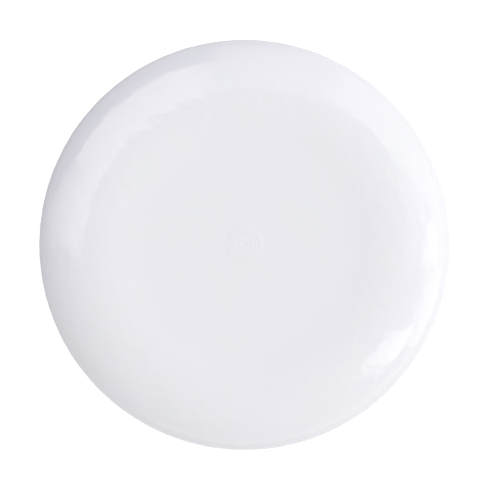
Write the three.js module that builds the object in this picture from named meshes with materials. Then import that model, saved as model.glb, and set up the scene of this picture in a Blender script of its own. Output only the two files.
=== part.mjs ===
// A one-piece moulded flying disc, 235 mm across, lying rim down.
// Millimetres, +Z up. The origin is on the axis, in the plane that the rim's foot stands on.
import * as THREE from "three";

// Overall form
const discRadius = 117.5;
const discHeight = 27; // up to the crest of the shoulder
const turns = 72; // facets round the disc

// The centre plate is flat out to plateRadius, then rises in a shallow dish to the crest of the shoulder
const plateRadius = 50;
const plateSink = 1.4; // below the crest
const plateWall = 1.8;
const dishPull = 18; // how far past the flat its level pulls the dish's curve
const crestPull = 10; // how far in from the crest the crest's level pulls it

// The shoulder is a quarter ellipse from its crest out to the widest part of the rim
const crestRadius = 79;
const crestWall = 1.9;
const widestHeight = 9;
const widestWall = 2.5;

// The lip turns in below the widest part, and is thicker than the wall above it
const footOuterRadius = 115.4;
const lipThickness = 4;
const sideTuckHeight = 4.5; // where the side below the widest part begins to turn in
const lipHeight = 4.2; // where the lip's inner face begins to slope back to the wall
const lipBackHeight = 6.4; // how far the slope's two pulls stand above the foot
const footRound = 1.2;
const footTuck = 0.35; // how far the outer corner leans in on its way down

// The nub left by the injection gate, under the centre
const gateRadius = 3.5;
const gateHeight = 0.9;
const gateTaper = 0.4;

const plateTop = discHeight - plateSink;
const plateUnder = plateTop - plateWall;
const crestUnder = discHeight - crestWall;
const wallInnerRadius = discRadius - widestWall;
const lipInnerRadius = footOuterRadius - lipThickness;

const point = (r, z) => new THREE.Vector2(r, z);

// The quarter ellipse from the crest, at topHeight, out and down to the widest part, at outerRadius
function shoulder(outerRadius, topHeight, steps) {
  const width = outerRadius - crestRadius;
  const rise = topHeight - widestHeight;
  const curve = new THREE.EllipseCurve(crestRadius, widestHeight, width, rise, Math.PI / 2, 0, true);
  return curve.getPoints(steps);
}

// The shallow dish from the plate up to the crest: level at both ends, and steepest near the crest
function dish(lowHeight, highHeight, steps) {
  const curve = new THREE.CubicBezierCurve(
    point(plateRadius, lowHeight),
    point(plateRadius + dishPull, lowHeight),
    point(crestRadius - crestPull, highHeight),
    point(crestRadius, highHeight),
  );
  return curve.getPoints(steps);
}

// The outside of the rim, from its widest part down and in to the foot
function rimOutside() {
  const side = new THREE.QuadraticBezierCurve(
    point(discRadius, widestHeight),
    point(discRadius, sideTuckHeight),
    point(footOuterRadius, footRound),
  );
  const corner = new THREE.QuadraticBezierCurve(
    point(footOuterRadius, footRound),
    point(footOuterRadius - footTuck, 0),
    point(footOuterRadius - footRound, 0),
  );
  return [...side.getPoints(4), ...corner.getPoints(2)];
}

// The inside of the rim, from the foot up the lip and back to the wall
function rimInside() {
  const centre = point(lipInnerRadius + footRound, footRound);
  const corner = new THREE.EllipseCurve(
    centre.x, centre.y, footRound, footRound, -Math.PI / 2, -Math.PI, true,
  );
  const slope = new THREE.CubicBezierCurve(
    point(lipInnerRadius, lipHeight),
    point(lipInnerRadius, lipBackHeight),
    point(wallInnerRadius, lipBackHeight),
    point(wallInnerRadius, widestHeight),
  );
  return [...corner.getPoints(3), ...slope.getPoints(4)];
}

// The gate nub, from its root in to the axis
function gateNub() {
  return [
    point(gateRadius, plateUnder),
    point(gateRadius - gateTaper, plateUnder - gateHeight),
    point(0, plateUnder - gateHeight),
  ];
}

// The half section of the whole wall: over the top and down the outside, then back up the inside
function wallSection() {
  const section = [
    point(0, plateTop),
    ...dish(plateTop, discHeight, 8),
    ...shoulder(discRadius, discHeight, 13),
    ...rimOutside(),
    ...rimInside(),
    ...shoulder(wallInnerRadius, crestUnder, 9).reverse(),
    ...dish(plateUnder, crestUnder, 6).reverse(),
    ...gateNub(),
  ];
  return section.filter((here, i) => i === 0 || here.distanceTo(section[i - 1]) > 1e-6);
}

function makeDisc() {
  const geometry = new THREE.LatheGeometry(wallSection().reverse(), turns).rotateX(Math.PI / 2);
  const material = new THREE.MeshStandardMaterial({ color: 0xe9e8ee, roughness: 0.25, metalness: 0 });
  const disc = new THREE.Mesh(geometry, material);
  disc.name = "disc_moulding";
  return disc;
}

const flyingDisc = new THREE.Group();
flyingDisc.add(makeDisc());

export default flyingDisc;
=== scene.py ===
# A white moulded flying disc lying rim down on a pale studio floor, seen from straight above.
import bpy, bmesh, math
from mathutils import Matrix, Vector, noise


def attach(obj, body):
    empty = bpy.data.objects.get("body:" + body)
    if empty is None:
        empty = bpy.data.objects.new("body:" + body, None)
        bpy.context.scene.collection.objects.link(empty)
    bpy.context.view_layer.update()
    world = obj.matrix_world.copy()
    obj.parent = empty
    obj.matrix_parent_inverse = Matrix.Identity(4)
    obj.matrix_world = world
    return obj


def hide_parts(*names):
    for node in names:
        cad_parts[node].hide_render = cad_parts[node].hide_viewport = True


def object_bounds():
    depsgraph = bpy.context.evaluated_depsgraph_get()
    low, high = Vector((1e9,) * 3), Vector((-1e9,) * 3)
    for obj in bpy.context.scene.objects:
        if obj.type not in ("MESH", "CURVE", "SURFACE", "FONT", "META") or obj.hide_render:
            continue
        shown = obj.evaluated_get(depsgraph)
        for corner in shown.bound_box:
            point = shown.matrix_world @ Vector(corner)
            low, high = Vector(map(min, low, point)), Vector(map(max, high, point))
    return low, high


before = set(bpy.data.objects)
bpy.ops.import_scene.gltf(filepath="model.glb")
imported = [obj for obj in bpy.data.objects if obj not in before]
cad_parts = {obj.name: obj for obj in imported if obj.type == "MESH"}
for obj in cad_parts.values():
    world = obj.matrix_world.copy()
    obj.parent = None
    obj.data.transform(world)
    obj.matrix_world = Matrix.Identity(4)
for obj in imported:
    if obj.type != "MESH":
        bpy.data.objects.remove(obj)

cadLow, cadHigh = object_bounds()
scene = bpy.context.scene
mm = 0.001
fullTurn = 2 * math.pi


def report(stage):
    print("flying disc:", stage)


view = {
    "lens": 100,
    "sensor": 36,
    "distance": 0.7785,  # from the lens to the level of the rim's widest part
    "shiftX": 0.001,
}


def makeCamera():
    data = bpy.data.cameras.new("viewCamera")
    data.lens = view["lens"]
    data.sensor_width = view["sensor"]
    data.shift_x = view["shiftX"]
    camera = bpy.data.objects.new("viewCamera", data)
    camera.location = (0, 0, view["distance"] + disc["widestHeight"])
    scene.collection.objects.link(camera)
    scene.camera = camera


disc = {
    "radius": cadHigh.x,
    "height": cadHigh.z,
    "plateRadius": 50 * mm,  # flat out to here
    "plateSink": 1.4 * mm,  # below the crest
    "plateWall": 1.8 * mm,
    "dishPull": 18 * mm,
    "crestPull": 10 * mm,
    "crestRadius": 79 * mm,
    "crestWall": 1.9 * mm,
    "widestHeight": 9 * mm,
    "widestWall": 2.5 * mm,
    "footRadius": 115.4 * mm,
    "lipThickness": 4 * mm,
    "tuckHeight": 4.5 * mm,
    "lipHeight": 4.2 * mm,
    "lipBackHeight": 6.4 * mm,
    "footRound": 1.2 * mm,
    "footTuck": 0.35 * mm,
    "seamHeight": 0.07 * mm,  # the parting line, a fine raised line round the widest part
    "seamWidth": 0.5 * mm,
    "turns": 360,
    "mergeWithin": 0.001 * mm,
}

# fine rings turned into the mould, on the centre of the plate
centreRings = {
    "count": 4,
    "firstRadius": 2.4 * mm,
    "spacing": 2.1 * mm,
    "height": 0.08 * mm,
    "width": 1.2 * mm,
    "topShare": 0.3,  # of the width that is level
}

# the nub that the injection gate leaves under the centre
gate = {
    "radius": 3.5 * mm,
    "height": 0.9 * mm,
    "taper": 0.4 * mm,
}

# how many straight steps each stretch of the outline takes
outlineSteps = {
    "plateSpacing": 3.5 * mm,
    "dish": 24,
    "shoulder": 56,
    "underShoulder": 30,
    "underDish": 12,
    "side": 12,
    "corner": 5,
}

# The skin is a little wavy, as thin mouldings are where they have shrunk.
waviness = {
    "swellDepth": 0.12 * mm,
    "swellSize": 17 * mm,
    "rippleDepth": 0.30 * mm,
    "rippleSize": 4.2 * mm,
    "plateShare": 0.06,  # the plate stays almost true
    "growFrom": 60 * mm,
}


def shoulder(outerRadius, topHeight, steps):
    # a quarter ellipse from the crest out and down to the widest part
    width = outerRadius - disc["crestRadius"]
    rise = topHeight - disc["widestHeight"]
    angles = [math.pi / 2 * (1 - i / steps) for i in range(steps + 1)]
    return [
        (disc["crestRadius"] + width * math.cos(a), disc["widestHeight"] + rise * math.sin(a))
        for a in angles
    ]


def bezier(corners, steps):
    # a Bezier curve of any order, by repeated halfway lines
    points = []
    for i in range(steps + 1):
        t = i / steps
        level = [Vector(c) for c in corners]
        while len(level) > 1:
            level = [a.lerp(b, t) for a, b in zip(level, level[1:])]
        points.append(tuple(level[0]))
    return points


def dish(lowHeight, highHeight, steps):
    # from the flat plate up to the crest, steepest near the crest
    corners = [
        (disc["plateRadius"], lowHeight),
        (disc["plateRadius"] + disc["dishPull"], lowHeight),
        (disc["crestRadius"] - disc["crestPull"], highHeight),
        (disc["crestRadius"], highHeight),
    ]
    return bezier(corners, steps)


def plateTopLine(top):
    # the plate's upper face from the axis out, with its fine raised rings
    line = [(0, top)]
    half = centreRings["width"] / 2
    inner = half * centreRings["topShare"]
    for i in range(centreRings["count"]):
        radius = centreRings["firstRadius"] + i * centreRings["spacing"]
        line += [(radius - half, top), (radius - inner, top + centreRings["height"])]
        line += [(radius + inner, top + centreRings["height"]), (radius + half, top)]
    start = line[-1][0] + outlineSteps["plateSpacing"]
    count = round((disc["plateRadius"] - start) / outlineSteps["plateSpacing"])
    line += [(start + (disc["plateRadius"] - start) * i / count, top) for i in range(count)]
    return line


def plateUnderLine(under):
    # the plate's lower face from its edge in to the gate nub on the axis
    outer, inner = disc["plateRadius"], gate["radius"]
    count = round((outer - inner) / outlineSteps["plateSpacing"])
    line = [(outer + (inner - outer) * i / count, under) for i in range(1, count + 1)]
    nubUnder = under - gate["height"]
    return line + [(inner - gate["taper"], nubUnder), (0, nubUnder)]


def rimOutside(radius):
    # from the widest part down and in to the foot
    foot, corner = disc["footRadius"], disc["footRound"]
    sideCorners = [(radius, disc["widestHeight"]), (radius, disc["tuckHeight"]), (foot, corner)]
    turnCorners = [(foot, corner), (foot - disc["footTuck"], 0), (foot - corner, 0)]
    side = bezier(sideCorners, outlineSteps["side"])
    turn = bezier(turnCorners, outlineSteps["corner"])
    return side[1:] + turn[1:]


def rimInside(wallRadius):
    # from the foot up the lip and back to the wall
    corner = disc["footRound"]
    lip = disc["footRadius"] - disc["lipThickness"]
    steps = outlineSteps["corner"]
    turn = [
        (lip + corner - corner * math.sin(a), corner - corner * math.cos(a))
        for a in [math.pi / 2 * i / steps for i in range(steps + 1)]
    ]
    back = disc["lipBackHeight"]
    corners = [
        (lip, disc["lipHeight"]),
        (lip, back),
        (wallRadius, back),
        (wallRadius, disc["widestHeight"]),
    ]
    return turn + bezier(corners, outlineSteps["side"])


def discOutline():
    # the half section of the whole wall: over the top, down the outside and back up the inside
    top = disc["height"] - disc["plateSink"]
    under = top - disc["plateWall"]
    crestUnder = disc["height"] - disc["crestWall"]
    outer = disc["radius"] - disc["seamHeight"]
    wall = disc["radius"] - disc["widestWall"]
    halfSeam = disc["seamWidth"] / 2
    line = plateTopLine(top)
    line += dish(top, disc["height"], outlineSteps["dish"])
    line += shoulder(outer, disc["height"], outlineSteps["shoulder"])[1:-1]
    line += [(outer, disc["widestHeight"] + halfSeam), (disc["radius"], disc["widestHeight"])]
    line += [(outer, disc["widestHeight"] - halfSeam)]
    line += rimOutside(outer)[1:]
    line += rimInside(wall)
    line += shoulder(wall, crestUnder, outlineSteps["underShoulder"])[::-1][1:]
    line += dish(under, crestUnder, outlineSteps["underDish"])[::-1][1:]
    line += plateUnderLine(under)
    return line


def wave(place, size):
    # smooth and seedless, from 0 to 1
    return 0.5 + 0.5 * max(-1, min(1, noise.noise(place / size)))


def ramp(value, start, end):
    return min(max((value - start) / (end - start), 0), 1)


def waveSkin(bm):
    # every point moves inwards only, and the foot not at all, so that the disc keeps its size
    # and stands true
    for vert in bm.verts:
        flat = Vector((vert.co.x, vert.co.y, 0))
        around = flat + Vector((0, 0, vert.co.z))
        push = waviness["swellDepth"] * wave(around, waviness["swellSize"])
        push += waviness["rippleDepth"] * wave(around, waviness["rippleSize"])
        grow = ramp(flat.length, waviness["growFrom"], disc["crestRadius"])
        push *= waviness["plateShare"] + (1 - waviness["plateShare"]) * grow
        push *= ramp(vert.co.z, 0, disc["widestHeight"])
        lean = ramp(flat.length, disc["crestRadius"], disc["radius"])
        vert.co -= flat.normalized() * (push * lean) + Vector((0, 0, push * (1 - lean)))


def makeDisc():
    bm = bmesh.new()
    verts = [bm.verts.new((r, 0, z)) for r, z in discOutline()]
    edges = [bm.edges.new(pair) for pair in zip(verts, verts[1:])]
    bmesh.ops.spin(
        bm, geom=verts + edges, cent=(0, 0, 0), axis=(0, 0, 1), angle=fullTurn,
        steps=disc["turns"], use_merge=True,
    )
    bmesh.ops.remove_doubles(bm, verts=bm.verts, dist=disc["mergeWithin"])
    waveSkin(bm)
    bmesh.ops.recalc_face_normals(bm, faces=bm.faces)
    for face in bm.faces:
        face.smooth = True
    mesh = bpy.data.meshes.new("discShell")
    bm.to_mesh(mesh)
    bm.free()
    piece = bpy.data.objects.new("discShell", mesh)
    scene.collection.objects.link(piece)
    return piece


plastic = {
    "coolColor": (0.715, 0.718, 0.746, 1),
    "warmColor": (0.726, 0.713, 0.755, 1),
    "cloudSize": 30 * mm,
    "cloudDetail": 3.0,
    "roughLow": 0.03,
    "roughHigh": 0.05,
    "ior": 1.5,
    "peelSize": 2.6 * mm,  # the fine orange peel of the moulded skin
    "peelDepth": 0.05 * mm,
    "peelDetail": 0.0,
    "noiseMiddle": (0.35, 0.65),  # the part of a noise's range that is spread out
}


def addNode(tree, kind, **values):
    node = tree.nodes.new(kind)
    for name, value in values.items():
        if name in node.inputs:
            node.inputs[name].default_value = value
        else:
            setattr(node, name, value)
    return node


def rangeNode(tree, source, low, high):
    # spreads the middle of a noise over low to high
    middle = plastic["noiseMiddle"]
    ends = {"From Min": middle[0], "From Max": middle[1], "To Min": low, "To Max": high}
    node = addNode(tree, "ShaderNodeMapRange", **ends)
    tree.links.new(source, node.inputs["Value"])
    return node.outputs["Result"]


def makePlastic():
    material = bpy.data.materials.new("whitePlastic")
    material.use_nodes = True
    tree = material.node_tree
    link = tree.links.new
    shader = tree.nodes["Principled BSDF"]
    shader.inputs["IOR"].default_value = plastic["ior"]
    place = addNode(tree, "ShaderNodeTexCoord").outputs["Object"]

    cloudScale, peelScale = 1 / plastic["cloudSize"], 1 / plastic["peelSize"]
    cloud = addNode(tree, "ShaderNodeTexNoise", Scale=cloudScale, Detail=plastic["cloudDetail"])
    link(place, cloud.inputs["Vector"])
    tint = addNode(tree, "ShaderNodeMix", data_type="RGBA")
    colorSockets = {s.name: s for s in tint.inputs if s.type == "RGBA"}
    colorSockets["A"].default_value = plastic["coolColor"]
    colorSockets["B"].default_value = plastic["warmColor"]
    link(rangeNode(tree, cloud.outputs["Fac"], 0, 1), tint.inputs["Factor"])
    link(next(s for s in tint.outputs if s.type == "RGBA"), shader.inputs["Base Color"])
    rough = rangeNode(tree, cloud.outputs["Fac"], plastic["roughLow"], plastic["roughHigh"])
    link(rough, shader.inputs["Roughness"])

    peel = addNode(tree, "ShaderNodeTexNoise", Scale=peelScale, Detail=plastic["peelDetail"])
    link(place, peel.inputs["Vector"])
    bump = addNode(tree, "ShaderNodeBump", Strength=1.0, Distance=plastic["peelDepth"])
    link(peel.outputs["Fac"], bump.inputs["Height"])
    link(bump.outputs["Normal"], shader.inputs["Normal"])
    return material


studio = {
    "airGlow": 0.75,
    "floorReach": 8.0,
    "floorParts": 96,
    "floorColor": (0.42, 0.42, 0.42, 1),
    "floorRoughness": 0.7,
    "floorShine": 0.1,
    "floorGlow": 0.68,
    "backdropReach": 7.5,
    "backdropParts": (64, 32),
    "backdropGlow": 0.8,
    "cardReach": 5.0,  # from the disc to the furthest light card
    "cardGap": 0.03,  # each later card hangs this much nearer
    "cardParts": 24,  # along each side of a card's mesh
}

# the light that the floor throws back, less on the side away from the lights
bounce = {
    "rings": (0, 0.09, 0.13, 0.6, 8.0),
    "glow": 1.0,
    "dip": 0.5,
    "dimTurn": 150,
    "dipFrom": 0.09,
    "dipFull": 0.13,
    "turns": 72,
    "mergeWithin": 0.01 * mm,
}

# Each card's four corners are (turn round +Z from +X, tilt from straight up) in degrees.
# Its glow runs from its upper edge to its lower one. soft is the share of the card over which it fades
# into the air at its start, its end, its upper edge and its lower edge. A later card hangs in front.
lightCards = [
    {"name": "rightMildCard", "upper": ((-14, 22), (28, 22)), "lower": ((-14, 52), (28, 52)),
     "glow": (1.2, 1.5), "soft": (0.3, 0.1, 0.2, 0)},
    {"name": "backCard", "upper": ((62, 26), (98, 17)), "lower": ((62, 90), (98, 90)),
     "glow": (1.35, 0.7), "soft": (0, 0, 0, 0)},
    {"name": "backRightCard", "upper": ((28, 37), (62, 27)), "lower": ((28, 90), (62, 90)),
     "glow": (2.05, 1.15), "soft": (0, 0.1, 0, 0)},
    {"name": "rightCard", "upper": ((12, 54), (28, 37)), "lower": ((12, 90), (28, 90)),
     "glow": (2.1, 1.5), "soft": (0, 0, 0, 0)},
    {"name": "rightUnderCard", "upper": ((-8, 56), (12, 56)), "lower": ((-8, 90), (12, 90)),
     "glow": (1.9, 1.6), "soft": (0, 0, 0, 0)},
    {"name": "rightLowCard", "upper": ((326, 42), (352, 44)), "lower": ((330, 90), (352, 90)),
     "glow": (2.4, 2.3), "soft": (0, 0, 0.4, 0)},
    {"name": "rightStripCard", "upper": ((353, 42), (371, 42)), "lower": ((351, 69), (367, 69)),
     "glow": (2.6, 3.0), "soft": (0.1, 0.1, 0.15, 0)},
    {"name": "frontCard", "upper": ((236, 66), (326, 66)), "lower": ((236, 90), (328, 90)),
     "glow": (0.8, 1.7), "soft": (0.1, 0, 0.3, 0)},
    {"name": "frontStripCard", "upper": ((304, 25), (328, 25)), "lower": ((316, 61), (337, 61)),
     "glow": (2.2, 3.9), "soft": (0.5, 0.15, 0.25, 0.15)},
    {"name": "leftDarkCard", "upper": ((186, 30), (236, 30)), "lower": ((176, 90), (238, 90)),
     "glow": (0.6, 0.3), "soft": (0, 0.7, 0.1, 0)},
    {"name": "windowSideCard", "upper": ((150, 19), (187, 26)), "lower": ((165, 90), (176, 90)),
     "glow": (2.35, 0.6), "soft": (0, 0.2, 0, 0)},
    {"name": "windowCard", "upper": ((98, 16), (152, 19)), "lower": ((98, 58), (156, 64)),
     "glow": (2.2, 2.1), "soft": (0.15, 0, 0, 0)},
    {"name": "nightCard", "upper": ((98, 54), (156, 61)), "lower": ((98, 90), (168, 90)),
     "glow": (0.2, 0.2), "soft": (0, 0, 0, 0), "color": (0.05, 0.1, 1, 1)},
]


def emissionMaterial(name, strength=None, color=(1, 1, 1, 1)):
    # with no strength given, the glow is read from the mesh's own glow attribute
    material = bpy.data.materials.new(name)
    material.use_nodes = True
    tree = material.node_tree
    tree.nodes.remove(tree.nodes["Principled BSDF"])
    lamp = addNode(tree, "ShaderNodeEmission", Color=color)
    if strength is None:
        reader = addNode(tree, "ShaderNodeAttribute", attribute_name="glow")
        tree.links.new(reader.outputs["Fac"], lamp.inputs["Strength"])
    else:
        lamp.inputs["Strength"].default_value = strength
    tree.links.new(lamp.outputs["Emission"], tree.nodes["Material Output"].inputs["Surface"])
    return material


def stageObject(name, bm, material):
    mesh = bpy.data.meshes.new(name)
    bm.to_mesh(mesh)
    bm.free()
    mesh.materials.append(material)
    thing = bpy.data.objects.new(name, mesh)
    scene.collection.objects.link(thing)
    return thing


def onlyForTheEye(thing):
    # seen by the camera, but throws no light on the disc and isn't mirrored in it
    thing.visible_diffuse = False
    thing.visible_glossy = False
    thing.visible_transmission = False
    thing.visible_shadow = False


def makeFloor():
    bm = bmesh.new()
    parts, reach = studio["floorParts"], studio["floorReach"]
    bmesh.ops.create_circle(bm, cap_ends=True, segments=parts, radius=reach)
    material = bpy.data.materials.new("paleFloor")
    material.use_nodes = True
    shader = material.node_tree.nodes["Principled BSDF"]
    shader.inputs["Base Color"].default_value = studio["floorColor"]
    shader.inputs["Roughness"].default_value = studio["floorRoughness"]
    shader.inputs["Specular IOR Level"].default_value = studio["floorShine"]
    shader.inputs["Emission Color"].default_value = (1, 1, 1, 1)
    shader.inputs["Emission Strength"].default_value = studio["floorGlow"]
    onlyForTheEye(stageObject("studioFloor", bm, material))


def makeBackdrop():
    bm = bmesh.new()
    around, down = studio["backdropParts"]
    bmesh.ops.create_uvsphere(
        bm, u_segments=around, v_segments=down, radius=studio["backdropReach"],
    )
    material = emissionMaterial("paleBackdrop", studio["backdropGlow"])
    onlyForTheEye(stageObject("studioBackdrop", bm, material))


def makeBounce():
    # the floor as the disc sees it
    bm = bmesh.new()
    verts = [bm.verts.new((radius, 0, 0)) for radius in bounce["rings"]]
    edges = [bm.edges.new(pair) for pair in zip(verts, verts[1:])]
    bmesh.ops.spin(
        bm, geom=verts + edges, cent=(0, 0, 0), axis=(0, 0, 1), angle=fullTurn,
        steps=bounce["turns"], use_merge=True,
    )
    bmesh.ops.remove_doubles(bm, verts=bm.verts, dist=bounce["mergeWithin"])
    glowLayer = bm.verts.layers.float.new("glow")
    dim = math.radians(bounce["dimTurn"])
    for vert in bm.verts:
        dip = bounce["dip"] * ramp(vert.co.length, bounce["dipFrom"], bounce["dipFull"])
        facing = max(0, math.cos(math.atan2(vert.co.y, vert.co.x) - dim))
        vert[glowLayer] = bounce["glow"] - dip * facing
    floor = stageObject("bounceFloor", bm, emissionMaterial("bounceFloor"))
    floor.visible_camera = False
    floor.visible_shadow = False


def fade(along, width):
    # from 0 at an edge to 1 a width in from it, level at both ends
    if width == 0:
        return 1
    t = ramp(along, 0, width)
    return t * t * (3 - 2 * t)


def makeCard(card, reach):
    bm = bmesh.new()
    bmesh.ops.create_grid(bm, x_segments=studio["cardParts"], y_segments=studio["cardParts"], size=1)
    glowLayer = bm.verts.layers.float.new("glow")
    corners = [Vector(corner) for corner in card["upper"] + card["lower"]]
    softStart, softEnd, softUpper, softLower = card["soft"]
    for vert in bm.verts:
        across, down = (vert.co.x + 1) / 2, (vert.co.y + 1) / 2
        place = corners[0].lerp(corners[1], across).lerp(corners[2].lerp(corners[3], across), down)
        turn, tilt = math.radians(place.x), math.radians(place.y)
        share = fade(across, softStart) * fade(1 - across, softEnd)
        share *= fade(down, softUpper) * fade(1 - down, softLower)
        glow = card["glow"][0] + (card["glow"][1] - card["glow"][0]) * down
        vert[glowLayer] = studio["airGlow"] + (glow - studio["airGlow"]) * share
        out, up = math.sin(tilt), math.cos(tilt)
        vert.co = reach * Vector((out * math.cos(turn), out * math.sin(turn), up))
    material = emissionMaterial(card["name"], color=card.get("color", (1, 1, 1, 1)))
    stageObject(card["name"], bm, material).visible_camera = False


def makeStudio():
    makeFloor()
    makeBackdrop()
    makeBounce()
    for i, card in enumerate(lightCards):
        makeCard(card, studio["cardReach"] - i * studio["cardGap"])
    world = bpy.data.worlds.new("studioAir")
    world.use_nodes = True
    air = world.node_tree.nodes["Background"]
    air.inputs["Color"].default_value = (1, 1, 1, 1)
    air.inputs["Strength"].default_value = studio["airGlow"]
    scene.world = world
    scene.view_settings.view_transform = "Standard"


report("camera")
makeCamera()
report("disc")
discShell = makeDisc()
discShell.data.materials.append(makePlastic())
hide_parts("disc_moulding")
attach(discShell, "root")
report("studio")
makeStudio()
